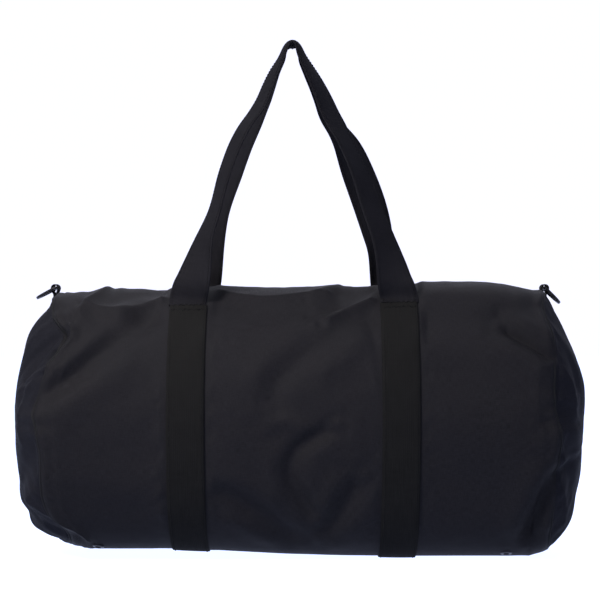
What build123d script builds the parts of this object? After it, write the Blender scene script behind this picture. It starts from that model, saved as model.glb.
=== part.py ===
"""Barrel duffel bag: a sewn fabric barrel with two webbing straps, two carry handles, a top zipper and a ring at each end.

Millimetres. +X runs along the bag, -Y is its front and +Z is up. The origin is on the ground under the middle.
"""

import math
import os

from build123d import *

# ---- Fabric barrel -----------------------------------------------------------------------------
FABRIC_T = 1.5  # coated fabric with its facing
WEBBING_T = 1.8
WEBBING_W = 38.0
SEAM_X = 260.0  # the round end panels are sewn on at this half-length
TAPER_X = 240.0  # from here to the seam the barrel draws in a little
BINDING_X = 252.0  # the seam's binding tape starts here, inside
BINDING_T = 1.2
DOME = 40.0  # how far the middle of an end panel stands out of its seam
AXIS_Z = 144.0  # height of the barrel's widest line
HALF_WIDTH = 140.0
RIDGE_Y, RIDGE_Z = 32.0, 284.0  # the two soft ridges beside the zipper
TROUGH_Y, TROUGH_Z = 16.0, 272.0  # the flat strip that holds the zipper
FOOT_Y, FOOT_Z = 45.0, WEBBING_T  # half of the flat underside, and its height
END_DRAW_IN = 6.0  # how much narrower and lower the section is at the seam
END_TOP_DROP = 3.5  # how much lower the zipper strip is at the seam

# ---- Mouth, lips and zipper --------------------------------------------------------------------
MOUTH_X = 203.5  # half-length of the part of the top that opens
HINGE_Y = 78.0  # where each lip folds
LIP_EDGE_Y = 9.0  # the fabric stops here, and the zipper tape goes on
ZIPPER_END_X = 244.5
TAPE_T = 0.8
TAPE_OUTER_Y = 15.8
COIL_INNER_Y, COIL_OUTER_Y, COIL_H = 0.8, 3.8, 2.6
GAP = 0.3  # between neighbours that move apart

# ---- Straps and handles ------------------------------------------------------------------------
STRAPS = {"left": (-115.0, -107.0), "right": (102.0, 96.0)}  # centre at the front, and at the back
ROW_Z = 264.0  # the stitch row where a strap leaves the fabric and becomes a handle
HANDLE_TOP = (-9.0, 20.0, 541.0)  # middle of the grip; y is its distance from the bag's middle
HANDLE_BASE_LIFT = 1.5  # from the sewn webbing's face to the handle's fold line
FOLD_Z = 348.0  # where a handle folds when it hangs down
HANDLE_SECTIONS = 34
LOOP_TOP = 0.495  # share of the centre line at which the grip is highest

# ---- Rings -------------------------------------------------------------------------------------
RING_X, RING_Z = 258.0, 279.5  # a ring's straight bar
RING_T = 2.8
RING_WIDTH, RING_INNER_WIDTH = 36.0, 28.0
RING_DEPTH = 23.0  # from the bar's middle to the bow
RING_TILT = {"left": 28.0, "right": 44.0}  # degrees that each ring hangs below level
TAB_W = 25.0
TAB_T = 1.6
TAB_BORE_R = 2.8

# ---- Slider and pull ---------------------------------------------------------------------------
SLIDER_X = 216.0  # parked at the closed end
SLIDER_L, SLIDER_W = 22.0, 12.0
PLATE_T = 1.8
BAIL_H = 3.0  # room for the pull's bar under the bail
PULL_L, PULL_W, PULL_T = 30.0, 8.0, 1.8

# ---- Eyelets -----------------------------------------------------------------------------------
EYELET_X, EYELET_Y = 213.0, -70.0
EYELET_R, EYELET_HOLE_R, EYELET_T = 6.0, 2.8, 0.7

SIDES = {"left": -1, "right": 1}
FACES = {"front": -1, "back": 1}


def across(x):
    """The plane at x that looks along +X, with Y across and Z up."""
    return Plane(origin=(x, 0, 0), x_dir=(0, 1, 0), z_dir=(1, 0, 0))


def section(inset=0.0, draw_in=0.0, drop=0.0, scale=1.0):
    """The barrel's cross-section, in Y and Z, moved inwards by inset."""

    def point(y, z):
        return (y * scale, AXIS_Z + (z - AXIS_Z) * scale)

    def ellipse(y, semi_z, start):
        corner = HALF_WIDTH - draw_in - inset - abs(y)
        return EllipticalCenterArc(point(y, AXIS_Z), corner * scale, semi_z * scale, start, arc_size=90)

    ridge = RIDGE_Z - draw_in - inset
    trough = TROUGH_Z - drop - inset
    foot = FOOT_Z + draw_in + inset
    rise = RIDGE_Z - draw_in - inset - AXIS_Z
    fall = AXIS_Z - foot
    level = ((1, 0), (1, 0))
    outline = [
        ellipse(RIDGE_Y, rise, 0),
        Spline(point(TROUGH_Y, trough), point(RIDGE_Y, ridge), tangents=level),
        Line(point(-TROUGH_Y, trough), point(TROUGH_Y, trough)),
        Spline(point(-RIDGE_Y, ridge), point(-TROUGH_Y, trough), tangents=level),
        ellipse(-RIDGE_Y, rise, 90),
        ellipse(-FOOT_Y, fall, 180),
        Line(point(-FOOT_Y, foot), point(FOOT_Y, foot)),
        ellipse(FOOT_Y, fall, 270),
    ]
    return make_face(outline)


def barrel(inset=0.0):
    """The bag's outside as one closed solid, moved inwards by inset."""
    middle = extrude(across(-TAPER_X) * section(inset), amount=2 * TAPER_X)
    end = dict(inset=inset, draw_in=END_DRAW_IN, drop=END_TOP_DROP)
    dome = [(0.0, 1.0), (0.27, 0.92), (0.52, 0.8), (0.76, 0.58), (0.92, 0.33), (1.0, 0.1)]
    solids = [middle]
    for side in SIDES.values():
        seam = side * SEAM_X
        taper = [across(side * TAPER_X) * section(inset), across(seam) * section(**end)]
        solids.append(loft(taper, ruled=True))
        faces = [
            across(seam + side * (DOME - inset) * out) * section(scale=size, **end)
            for out, size in dome
        ]
        solids.append(loft(faces))
    return solids


def block(x, y, z):
    """A box from three (low, high) pairs."""
    size = [high - low for low, high in (x, y, z)]
    centre = [(high + low) / 2 for low, high in (x, y, z)]
    return Pos(*centre) * Box(*size)


def span(side, low, high):
    """The (low, high) pair of a stretch that starts at low and ends at high on that side."""
    return tuple(sorted((side * low, side * high)))


MIDDLE, *ENDS = barrel()
INNER_MIDDLE, *INNER_ENDS = barrel(FABRIC_T)
TAPERS, DOMES = ENDS[0::2], ENDS[1::2]
INNER_TAPERS, INNER_DOMES = INNER_ENDS[0::2], INNER_ENDS[1::2]
ABOVE = (200.0, 320.0)


def surface_z(y):
    """Height of the barrel's outside at y, outboard of the ridge."""
    reach = HALF_WIDTH - RIDGE_Y
    return AXIS_Z + (RIDGE_Z - AXIS_Z) * math.sqrt(1 - ((abs(y) - RIDGE_Y) / reach) ** 2)


def surface_y(z):
    """Distance of the barrel's outside from the middle at height z, above its widest line."""
    reach = HALF_WIDTH - RIDGE_Y
    return RIDGE_Y + reach * math.sqrt(1 - ((z - AXIS_Z) / (RIDGE_Z - AXIS_Z)) ** 2)


def outward(y, z):
    """Unit normal, in Y and Z, of the upper part of the barrel at (y, z)."""
    reach = HALF_WIDTH - RIDGE_Y
    across_part = (abs(y) - RIDGE_Y) / reach**2
    up_part = (z - AXIS_Z) / (RIDGE_Z - AXIS_Z) ** 2
    length = math.hypot(across_part, up_part)
    return math.copysign(across_part / length, y), up_part / length


# ---- Fabric panels -----------------------------------------------------------------------------
def eyelet_place(side):
    """The plane of an eyelet, on the low front of the barrel, with +Z outwards."""
    reach = HALF_WIDTH - FOOT_Y
    fall = AXIS_Z - FOOT_Z
    share = (abs(EYELET_Y) - FOOT_Y) / reach
    z = AXIS_Z - fall * math.sqrt(1 - share**2)
    normal = (0, -share / reach, (z - AXIS_Z) / fall**2)
    return Plane(origin=(side * EYELET_X, EYELET_Y, z), x_dir=(1, 0, 0), z_dir=normal)


def body_panel():
    """The fabric that wraps the barrel, open where the lips and the zipper are."""
    shell = MIDDLE - INNER_MIDDLE
    for outer, inner in zip(TAPERS, INNER_TAPERS):
        shell += outer - inner
    shell -= block((-MOUTH_X, MOUTH_X), (-HINGE_Y, HINGE_Y), ABOVE)
    shell -= block((-ZIPPER_END_X, ZIPPER_END_X), (-LIP_EDGE_Y, LIP_EDGE_Y), ABOVE)
    for side in SIDES.values():
        shell -= eyelet_place(side) * Cylinder(EYELET_HOLE_R + 0.8, 8)
    return shell


def end_panel(side):
    """The round domed panel at one end."""
    index = list(SIDES.values()).index(side)
    return DOMES[index] - INNER_DOMES[index]


def seam_binding(side):
    """The binding tape over the turned-in seam, inside the barrel."""
    share = (BINDING_X - TAPER_X) / (SEAM_X - TAPER_X)
    rings = []
    for inset in (FABRIC_T + 0.05, FABRIC_T + BINDING_T):
        inner = across(side * BINDING_X) * section(inset, END_DRAW_IN * share, END_TOP_DROP * share)
        rings.append(loft([inner, across(side * SEAM_X) * section(inset, END_DRAW_IN, END_TOP_DROP)], ruled=True))
    return rings[0] - rings[1]


def lip(face):
    """The strip of top fabric on one side of the zipper, from its fold to the zipper tape."""
    shell = MIDDLE - INNER_MIDDLE
    reach = span(face, LIP_EDGE_Y, HINGE_Y - GAP)
    return shell & block((-MOUTH_X + GAP, MOUTH_X - GAP), reach, ABOVE)


# ---- Zipper ------------------------------------------------------------------------------------
TAPE_TOP = TROUGH_Z - FABRIC_T
COIL_TOP = TAPE_TOP + COIL_H


def tape(face, x):
    return block(x, span(face, COIL_INNER_Y + 0.2, TAPE_OUTER_Y), (TAPE_TOP - TAPE_T, TAPE_TOP))


def coil(face, x):
    """The envelope of one side's nylon coil, rounded on top."""
    strip = block(x, span(face, COIL_INNER_Y, COIL_OUTER_Y), (TAPE_TOP, COIL_TOP))
    return fillet(strip.edges().filter_by(Axis.X).group_by(Axis.Z)[-1], 0.8)


def zipper_end(side):
    """Both sides' tape and coil beyond the mouth, sewn to the barrel."""
    x = span(side, MOUTH_X, TAPER_X)
    return Compound(children=[make(face, x) for face in FACES.values() for make in (tape, coil)])


def zipper_stop(side):
    """The crimped stop that ends each coil."""
    x = span(side, TAPER_X, TAPER_X + 4)
    y = (-COIL_OUTER_Y - 0.4, COIL_OUTER_Y + 0.4)
    stop = block(x, y, (TAPE_TOP - TAPE_T, COIL_TOP + 0.6))
    return fillet(stop.edges().filter_by(Axis.X).group_by(Axis.Z)[-1], 1.0)


def slider():
    """The slider: two wings joined by a post that runs between the coils, with a bail on top."""
    low = TAPE_TOP - TAPE_T - GAP
    high = COIL_TOP + GAP
    half_l, half_w = SLIDER_L / 2, SLIDER_W / 2
    wing = [(-half_l, half_w - 1.5), (0, half_w), (half_l, half_w - 2), (half_l, 2 - half_w), (0, -half_w), (-half_l, 1.5 - half_w)]
    plan = make_face(Polyline(*wing, close=True))
    body = extrude(Pos(0, 0, high) * plan, amount=PLATE_T)
    body = fillet(body.edges().group_by(Axis.Z)[-1], 0.6)
    body += extrude(Pos(0, 0, low) * plan, amount=-PLATE_T)
    for face in FACES.values():
        body += block((-half_l + 1, half_l - 3), span(face, COIL_OUTER_Y + GAP, half_w - 1.3), (TAPE_TOP + 0.4, high))
    body += block((3.0, half_l - 1), (-0.5, 0.5), (low - 0.5, high + 0.5))
    top = high + PLATE_T
    bail = block((-4.8, 5.6), (-1.3, 1.3), (top - 0.3, top + BAIL_H + 1.5))
    bail = fillet(bail.edges().filter_by(Axis.Y).group_by(Axis.Z)[-1], 2.0)
    bail -= block((-3.4, 4.1), (-2, 2), (top, top + BAIL_H))
    return Pos(SLIDER_X, 0, 0) * (body + bail)


PULL_AXIS_X = SLIDER_X + 2.6
PULL_AXIS_Z = COIL_TOP + GAP + PLATE_T + BAIL_H / 2


def zipper_pull():
    """The pull: a bar under the bail, two arms beside it and a flat tab."""
    bar = Rot(90, 0, 0) * Cylinder(1.1, PULL_W - 1.2)
    half_t = PULL_T / 2
    arms = block((0, 9.5), (-PULL_W / 2 + 0.6, PULL_W / 2 - 0.6), (-half_t, half_t))
    arms -= block((-1, 8.0), (-1.7, 1.7), (-3, 3))
    tab = block((9.0, PULL_L), (-PULL_W / 2, PULL_W / 2), (-half_t, half_t))
    tab = fillet(tab.edges().filter_by(Axis.Z), 2.0)
    tab -= Pos(PULL_L - 4.5, 0, 0) * Cylinder(1.6, 6)
    return Pos(PULL_AXIS_X, 0, PULL_AXIS_Z) * (bar + arms + tab)


# ---- Straps and handles ------------------------------------------------------------------------
ROW_Y = surface_y(ROW_Z)
ROW_NORMAL = outward(ROW_Y, ROW_Z)
BASE_Y = ROW_Y + ROW_NORMAL[0] * (WEBBING_T + HANDLE_BASE_LIFT)
BASE_Z = ROW_Z + ROW_NORMAL[1] * (WEBBING_T + HANDLE_BASE_LIFT)


def strap(x_front, x_back):
    """One webbing strap, sewn on from the front stitch row, under the bag, to the back row."""
    band = extrude(across(-TAPER_X) * section(-WEBBING_T), amount=2 * TAPER_X) - MIDDLE
    turn = math.degrees(math.atan2(x_back - x_front, 2 * HALF_WIDTH))
    slab = Pos((x_front + x_back) / 2, 0, AXIS_Z) * Rot(0, 0, -turn) * Box(WEBBING_W, 400, 400)
    return (band & slab) - block((-300, 300), (-ROW_Y, ROW_Y), ABOVE)


def handle_path(face):
    """The centre line of one handle, from just below its left fold line to just below its right one."""
    left, right = (ends[0 if face < 0 else 1] for ends in STRAPS.values())
    top_x, top_y, top_z = HANDLE_TOP
    side_path = [(1.01, -0.03), (0.87, 0.188), (0.71, 0.377), (0.55, 0.54), (0.33, 0.75), (0.21, 0.875), (0.12, 0.96)]

    def point(x, rise):
        return (x, face * (BASE_Y + (top_y - BASE_Y) * rise), BASE_Z + (top_z - BASE_Z) * rise)

    rising = [point(top_x + (left - top_x) * out, rise) for out, rise in side_path]
    falling = [point(top_x + (right - top_x) * out, rise) for out, rise in reversed(side_path)]
    return Spline(*rising, point(top_x, 1.0), *falling)


def handle_section(path, face, at, side):
    """The webbing's cross-section at a share of the path; it turns edge-on as it rises."""
    along = path % at
    middle = path @ at
    rise = max(0.0, (middle.Z - BASE_Z) / (HANDLE_TOP[2] - BASE_Z))
    turn = math.radians(68) * min(1, 1.25 * rise) ** 1.5 + math.radians(22) * min(1, 1.01 * rise) ** 8
    width = Vector(-side * math.cos(turn), face * math.sin(turn), 0)
    width = (width - along * width.dot(along)).normalized()
    return Plane(origin=middle, x_dir=width, z_dir=along) * Rectangle(WEBBING_W, WEBBING_T)


def handle_parts(face):
    """One handle as its two lower legs and its upper loop, parted square to its lean at the fold."""
    path = handle_path(face)
    count = HANDLE_SECTIONS // 2
    halves = []
    for side, start, end in ((-1, 0.0, LOOP_TOP), (1, LOOP_TOP, 1.0)):
        shares = [start + (end - start) * i / count for i in range(count + 1)]
        halves.append(loft([handle_section(path, face, at, side) for at in shares], ruled=True))
    lean = math.atan2(BASE_Y - HANDLE_TOP[1], HANDLE_TOP[2] - BASE_Z)
    fold_y = BASE_Y - math.tan(lean) * (FOLD_Z - BASE_Z)
    length = (FOLD_Z - BASE_Z) / math.cos(lean)
    fold = Pos(0, face * fold_y, FOLD_Z) * Rot(face * math.degrees(lean), 0, 0)
    leg_room = fold * block((-300, 300), (-200, 200), (-length, -GAP / 2))
    loop_room = fold * block((-300, 300), (-200, 200), (GAP / 2, 400))
    legs = [half & leg_room for half in halves]
    return Compound(children=legs), (halves[0] & loop_room) + (halves[1] & loop_room)


# ---- Rings and their tabs ----------------------------------------------------------------------
def ring(side):
    """A flat D: a straight bar inside the tab and a bow outside it."""
    half, inner = RING_WIDTH / 2, RING_INNER_WIDTH / 2
    wire = half - inner
    outer = [
        Line((-wire / 2, -half), (-wire / 2, half)),
        Line((-wire / 2, half), (wire, half)),
        EllipticalCenterArc((wire, 0), RING_DEPTH - wire, half, -90, arc_size=180),
        Line((wire, -half), (-wire / 2, -half)),
    ]
    hole = [
        Line((wire / 2, -inner), (wire / 2, inner)),
        Line((wire / 2, inner), (wire, inner)),
        EllipticalCenterArc((wire, 0), RING_DEPTH - 2 * wire, inner, -90, arc_size=180),
        Line((wire, -inner), (wire / 2, -inner)),
    ]
    flat = make_face(outer) - make_face(hole)
    solid = extrude(Pos(0, 0, -RING_T / 2) * flat, amount=RING_T)
    solid = fillet(solid.edges().filter_by(lambda e: abs(e.center().Z) > RING_T / 2 - 0.01), 0.8)
    name = "left" if side < 0 else "right"
    turned = Rot(0, RING_TILT[name], 0) * solid
    if side < 0:
        turned = Rot(0, 0, 180) * turned
    return Pos(side * RING_X, 0, RING_Z) * turned


def ring_tab(side):
    """The folded webbing that holds a ring's bar and is sewn into the end seam."""
    outer_r = TAB_BORE_R + TAB_T
    loop = Cylinder(outer_r, TAB_W, rotation=(90, 0, 0))
    leg = block((-2.6, 2.6), (-TAB_W / 2, TAB_W / 2), (-14, 0))
    bore = Cylinder(TAB_BORE_R, TAB_W + 2, rotation=(90, 0, 0))
    tab = Pos(side * RING_X, 0, RING_Z) * (loop + leg - bore)
    for solid in (*TAPERS, *DOMES, MIDDLE):
        tab -= solid
    return max(tab.solids(), key=lambda s: s.volume)


def eyelet(side):
    """A small metal eyelet: a flange outside the fabric and a barrel through it."""
    flange = Pos(0, 0, 0.15 + EYELET_T / 2) * Cylinder(EYELET_R, EYELET_T)
    flange = fillet(flange.edges().group_by(Axis.Z)[-1], 0.4)
    tube = Pos(0, 0, -1.0) * Cylinder(EYELET_HOLE_R + 0.6, 2.4)
    return eyelet_place(side) * (flange + tube - Cylinder(EYELET_HOLE_R, 8))


def write(name, shape):
    export_step(shape, f"parts/{name}.step")


def main():
    os.makedirs("parts", exist_ok=True)
    write("body_panel", body_panel())
    for name, side in SIDES.items():
        write(f"end_panel_{name}", end_panel(side))
        write(f"seam_binding_{name}", seam_binding(side))
        write(f"strap_{name}", strap(*STRAPS[name]))
        write(f"zipper_end_{name}", zipper_end(side))
        write(f"zipper_stop_{name}", zipper_stop(side))
        write(f"d_ring_{name}", ring(side))
        write(f"d_ring_tab_{name}", ring_tab(side))
        write(f"eyelet_{name}", eyelet(side))
    for name, face in FACES.items():
        mouth = (-MOUTH_X + GAP, MOUTH_X - GAP)
        write(f"lip_{name}", lip(face))
        write(f"zipper_tape_{name}", tape(face, mouth))
        write(f"zipper_coil_{name}", coil(face, mouth))
        legs, loop = handle_parts(face)
        write(f"handle_legs_{name}", legs)
        write(f"handle_loop_{name}", loop)
    write("zipper_slider", slider())
    write("zipper_pull", zipper_pull())


main()
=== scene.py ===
"""Barrel duffel bag: the visual model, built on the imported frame.

Lengths are millimetres unless a name ends in _m. Sizes in the materials' nodes are metres.
"""

import math

import bpy
import numpy as np
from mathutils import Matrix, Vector


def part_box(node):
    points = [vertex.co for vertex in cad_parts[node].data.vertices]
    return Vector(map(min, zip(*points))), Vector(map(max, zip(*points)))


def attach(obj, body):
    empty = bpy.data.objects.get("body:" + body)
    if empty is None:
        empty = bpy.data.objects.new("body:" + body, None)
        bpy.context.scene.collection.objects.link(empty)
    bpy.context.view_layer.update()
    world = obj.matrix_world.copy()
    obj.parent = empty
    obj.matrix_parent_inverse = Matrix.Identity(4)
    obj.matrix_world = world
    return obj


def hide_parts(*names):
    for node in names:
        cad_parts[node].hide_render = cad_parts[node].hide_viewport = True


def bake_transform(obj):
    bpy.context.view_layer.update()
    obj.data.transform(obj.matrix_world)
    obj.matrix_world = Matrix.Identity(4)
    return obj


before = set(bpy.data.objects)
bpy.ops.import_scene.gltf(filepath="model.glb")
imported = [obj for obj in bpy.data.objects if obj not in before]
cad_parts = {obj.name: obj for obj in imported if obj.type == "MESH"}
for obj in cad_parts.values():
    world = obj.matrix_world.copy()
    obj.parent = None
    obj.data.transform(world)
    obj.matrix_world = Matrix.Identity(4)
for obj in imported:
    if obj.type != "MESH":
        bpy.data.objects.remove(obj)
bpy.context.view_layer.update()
MM = 0.001

# ---- The barrel's section, as in the CAD -------------------------------------------------------
AXIS_Z = 144.0
HALF_WIDTH = 140.0
RIDGE_Y, RIDGE_Z = 32.0, 284.0
TROUGH_Y, TROUGH_Z = 16.0, 272.0
FOOT_Y, FOOT_Z = 45.0, 1.8
TAPER_X, SEAM_X = 240.0, 260.0
DRAW_IN = 6.0
HINGE_Y, LIP_EDGE_Y = 78.0, 9.0
LIP_END_X = 245.0  # where a lip piece ends, past the still slider
ROW_Z = 264.0  # where straps become handles
WEBBING_W, WEBBING_T = 38.0, 1.7
WEBBING_LIFT = WEBBING_T / 2 + 0.15  # from the fabric to the middle of the webbing on it
STITCH_X = WEBBING_W / 2 - 2.6  # from the middle of the webbing to the stitches along its edges
STRAPS = {"left": (-115.0, -107.0), "right": (102.0, 96.0)}  # centre at the front, and at the back
FABRIC_T = 1.1
SIDES = {"left": -1, "right": 1}
FACES = {"front": -1, "back": 1}
X_STEP = 2.0
BODY_STEP = 2.3


# ---- Small maths -------------------------------------------------------------------------------
def smoothstep(value):
    value = np.clip(value, 0.0, 1.0)
    return value * value * (3 - 2 * value)


def curve(table, at):
    """A smooth curve through (position, value) pairs, read at the given positions."""
    knots = np.array([pair[0] for pair in table], float)
    values = np.array([pair[1] for pair in table], float)
    slopes = np.gradient(values, knots)
    at = np.clip(at, knots[0], knots[-1])
    index = np.clip(np.searchsorted(knots, at) - 1, 0, len(knots) - 2)
    gap = knots[index + 1] - knots[index]
    t = (at - knots[index]) / gap
    low, high = values[index], values[index + 1]
    left, right = slopes[index] * gap, slopes[index + 1] * gap
    return (
        (2 * t**3 - 3 * t**2 + 1) * low
        + (t**3 - 2 * t**2 + t) * left
        + (3 * t**2 - 2 * t**3) * high
        + (t**3 - t**2) * right
    )


def unit(vectors):
    return vectors / np.maximum(np.linalg.norm(vectors, axis=-1, keepdims=True), 1e-9)


def run_lengths(points):
    """The length along a polyline at each of its points."""
    return np.concatenate([[0], np.cumsum(np.linalg.norm(np.diff(points, axis=0), axis=1))])


def resample(points, count):
    """The same polyline with count points, evenly spaced."""
    points = np.asarray(points, float)
    lengths = run_lengths(points)
    at = np.linspace(0, lengths[-1], count)
    return np.stack([np.interp(at, lengths, points[:, k]) for k in range(points.shape[1])], axis=1)


def ripple(u, v, shortest, longest, count, seed):
    """Smooth random relief of about unit height over two coordinates."""
    random = np.random.default_rng(seed)
    total = np.zeros(np.broadcast(u, v).shape)
    for _ in range(count):
        wave = random.uniform(shortest, longest)
        turn = random.uniform(0, math.pi)
        phase = random.uniform(0, 2 * math.pi)
        total = total + np.sin(2 * math.pi * (u * math.cos(turn) + v * math.sin(turn)) / wave + phase)
    return total / math.sqrt(count / 2)


# ---- The section -------------------------------------------------------------------------------
def half_outline():
    """The section from the middle of the top, out to +Y and down to the middle of the bottom."""
    points = [(y, TROUGH_Z) for y in np.linspace(0, TROUGH_Y, 6)]
    for t in np.linspace(0, 1, 20)[1:]:
        points.append((TROUGH_Y + (RIDGE_Y - TROUGH_Y) * t, TROUGH_Z + (RIDGE_Z - TROUGH_Z) * smoothstep(t)))
    for turn in np.linspace(0, math.pi / 2, 160)[1:]:
        y = RIDGE_Y + (HALF_WIDTH - RIDGE_Y) * math.sin(turn)
        points.append((y, AXIS_Z + (RIDGE_Z - AXIS_Z) * math.cos(turn)))
    for turn in np.linspace(0, math.pi / 2, 160)[1:]:
        y = FOOT_Y + (HALF_WIDTH - FOOT_Y) * math.cos(turn)
        points.append((y, AXIS_Z - (AXIS_Z - FOOT_Z) * math.sin(turn)))
    points += [(y, FOOT_Z) for y in np.linspace(FOOT_Y, 0, 12)[1:]]
    return np.array(points)


OUTLINE = half_outline()
TURN_SPLIT = int(np.argmax(OUTLINE[:, 0] > HINGE_Y))
EDGE_SPLIT = int(np.argmax(OUTLINE[:, 0] > LIP_EDGE_Y))


def row_points():
    """The section as rows of (y, z), from the front lip's edge down, under and up to the back lip's edge."""

    def exact(y, split):
        before, after = OUTLINE[split - 1], OUTLINE[split]
        share = (y - before[0]) / (after[0] - before[0])
        return before + (after - before) * share

    edge, hinge = exact(LIP_EDGE_Y, EDGE_SPLIT), exact(HINGE_Y, TURN_SPLIT)
    lip = resample(np.vstack([edge, OUTLINE[EDGE_SPLIT:TURN_SPLIT], hinge]), 37)
    side = np.vstack([hinge, OUTLINE[TURN_SPLIT:]])
    length = np.sum(np.linalg.norm(np.diff(side, axis=0), axis=1))
    side = resample(side, round(length / BODY_STEP) + 1)
    back = np.vstack([lip, side[1:]])
    front = back * (-1, 1)
    return np.vstack([front, back[::-1][1:]]), len(lip) - 1


ROWS, LIP_ROWS = row_points()
ROW_LENGTHS = run_lengths(ROWS)
LAST = len(ROWS) - 1

# ---- How the soft barrel really lies: heights, seam line and folds, in millimetres ---------------
RIDGE_LINE = [
    (-262, 272), (-240, 275), (-222, 275.5), (-200, 277.5), (-130, 278.5), (-60, 279.5), (20, 280.5),
    (80, 282), (130, 284.5), (165, 285), (200, 283.5), (222, 279.5), (240, 276), (262, 272.5),
]
UNDERSIDE = [
    (-262, 7.5), (-160, 7.6), (-125, 7.2), (-90, 5.6), (-50, 3.8), (0, 1.6), (40, 0.6), (90, 0), (262, 0),
]
SEAM_SHIFT = {
    "left": [
        (0, 22), (25, 20), (55, 1), (116, -4), (136, -7), (154, -12), (175, -5), (190, 1), (206, 7),
        (219, 13), (230, 18), (238, 14), (247, 7), (267, 3), (284, 0),
    ],
    "right": [(0, -4), (25, -3), (100, 3), (140, 4), (151, 1), (221, 0), (234, -2), (257, -8), (284, -6)],
}

# Each fold: its line in (x, z), half-width, and height, which is below zero for a valley.
FRONT_FOLDS = {
    "soft": [
        ([(-266, 158), (-244, 180), (-218, 202), (-182, 231), (-150, 252)], 13, -7.5),
        ([(-262, 186), (-232, 208), (-200, 234), (-176, 250)], 12, 3.4),
        ([(-240, 150), (-205, 178), (-168, 208)], 16, 2.6),
        ([(-214, 247), (-182, 243), (-146, 250)], 9, -3.0),
        ([(-188, 268), (-160, 272), (-136, 276)], 7, -2.4),
        ([(-90, 262), (-42, 254), (8, 258)], 12, -2.6),
        ([(60, 256), (70, 247), (82, 232)], 11, -4.2),
        ([(54, 252), (43, 243), (22, 225), (-10, 200), (-29, 180), (-27, 158)], 14, -4.2),
        ([(10, 240), (-20, 222), (-40, 200), (-46, 182)], 15, 2.0),
        ([(66, 226), (44, 212), (18, 192)], 13, 2.4),
        ([(-16, 150), (-6, 142), (6, 135)], 9, 3.2),
        ([(30, 138), (12, 126), (-3, 118), (-10, 102), (-9, 82), (2, 64), (13, 50)], 9, -5.6),
        ([(34, 122), (16, 110), (12, 94), (18, 78)], 12, 1.8),
        ([(-28, 116), (-28, 92), (-20, 70)], 12, 2.4),
        ([(60, 82), (48, 62), (35, 44), (24, 30)], 10, -5.2),
        ([(40, 92), (28, 72), (20, 56)], 9, 2.6),
        ([(74, 62), (60, 44), (48, 30)], 10, 2.0),
        ([(-84, 74), (-58, 61), (-34, 46), (-16, 31), (-4, 22)], 12, -5.4),
        ([(-76, 94), (-46, 78), (-20, 58)], 12, 2.6),
        ([(-74, 50), (-46, 32), (-24, 18)], 10, 2.8),
        ([(212, 250), (236, 240), (258, 228)], 10, 3.6),
        ([(200, 228), (226, 214), (250, 196)], 11, 3.0),
        ([(257, 204), (254, 190), (256, 160)], 9, -3.6),
        ([(259, 94), (252, 80), (246, 60), (240, 44), (234, 22)], 9, -11.0),
        ([(236, 100), (228, 76), (219, 52), (214, 34)], 12, 3.0),
        ([(114, 273), (160, 275), (212, 271), (238, 263)], 13, 4.4),
        ([(116, 246), (165, 248), (214, 243)], 19, -4.4),
        ([(150, 205), (190, 186), (235, 176)], 24, -2.4),
        ([(135, 150), (180, 138), (228, 142)], 26, 2.2),
        ([(140, 96), (175, 80), (205, 84)], 24, -2.2),
        ([(-240, 118), (-200, 108), (-150, 116)], 26, -2.0),
        ([(-235, 74), (-200, 56), (-150, 50)], 18, -2.6),
        ([(-258, 30), (-246, 22), (-236, 14)], 9, -5.0),
        ([(-142, 160), (-138, 150), (-139, 120)], 5, 1.6),
        ([(-146, 92), (-139, 84), (-137, 70)], 5, 1.6),
        ([(-140, 60), (-134, 48), (-136, 34)], 5, 1.6),
    ],
    "crisp": [
        ([(-230, 252), (-216, 264), (-198, 277)], 6, 6.0),
        ([(-222, 260), (-187, 254), (-159, 260), (-131, 270)], 6, 6.2),
        ([(-95, 277), (-70, 272), (-42, 267), (-16, 268), (14, 271), (32, 272)], 8, 6.0),
        ([(10, 268), (24, 274), (42, 281)], 5, 2.6),
        ([(6, 250), (22, 255), (40, 258)], 6, -3.2),
        ([(26, 245), (43, 254), (64, 262), (82, 268)], 6, 7.4),
        ([(208, 239), (227, 227), (242, 216), (257, 209)], 8, -8.5),
        ([(262, 154), (252, 147), (238, 143)], 7, -3.4),
        ([(-278, 64), (-264, 52), (-246, 36), (-226, 20)], 7, 5.0),
        ([(-240, 240), (-246, 228), (-254, 207), (-260, 196)], 5, 6.5),
        ([(-256, 238), (-257, 222), (-260, 206)], 7, -10.0),
    ],
}
BACK_FOLDS = {
    "soft": [
        ([(-255, 190), (-205, 168), (-160, 140)], 15, -4.2),
        ([(-258, 214), (-215, 196), (-170, 176)], 13, 2.2),
        ([(-86, 232), (-30, 214), (30, 228)], 14, -2.6),
        ([(-40, 150), (-20, 118), (-18, 90)], 12, 2.0),
        ([(74, 110), (40, 84), (20, 50)], 12, -3.6),
        ([(72, 178), (30, 170), (-20, 176)], 20, 1.8),
        ([(134, 246), (180, 230), (240, 236)], 11, -3.0),
        ([(140, 190), (190, 160), (252, 150)], 16, -3.6),
        ([(150, 214), (200, 190), (252, 184)], 13, 2.0),
        ([(256, 92), (234, 62), (210, 36)], 12, -4.6),
        ([(-256, 84), (-232, 60), (-200, 40)], 12, -4.2),
        ([(-240, 106), (-200, 90), (-150, 92)], 18, 1.8),
        ([(140, 96), (170, 76), (200, 72)], 18, -2.0),
    ],
    "crisp": [
        ([(-230, 262), (-190, 252), (-140, 258)], 8, 2.2),
        ([(-90, 256), (-40, 244), (20, 252), (70, 246)], 9, 2.4),
        ([(-66, 150), (-40, 120), (-46, 86), (-20, 56)], 11, -4.0),
    ],
}


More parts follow.
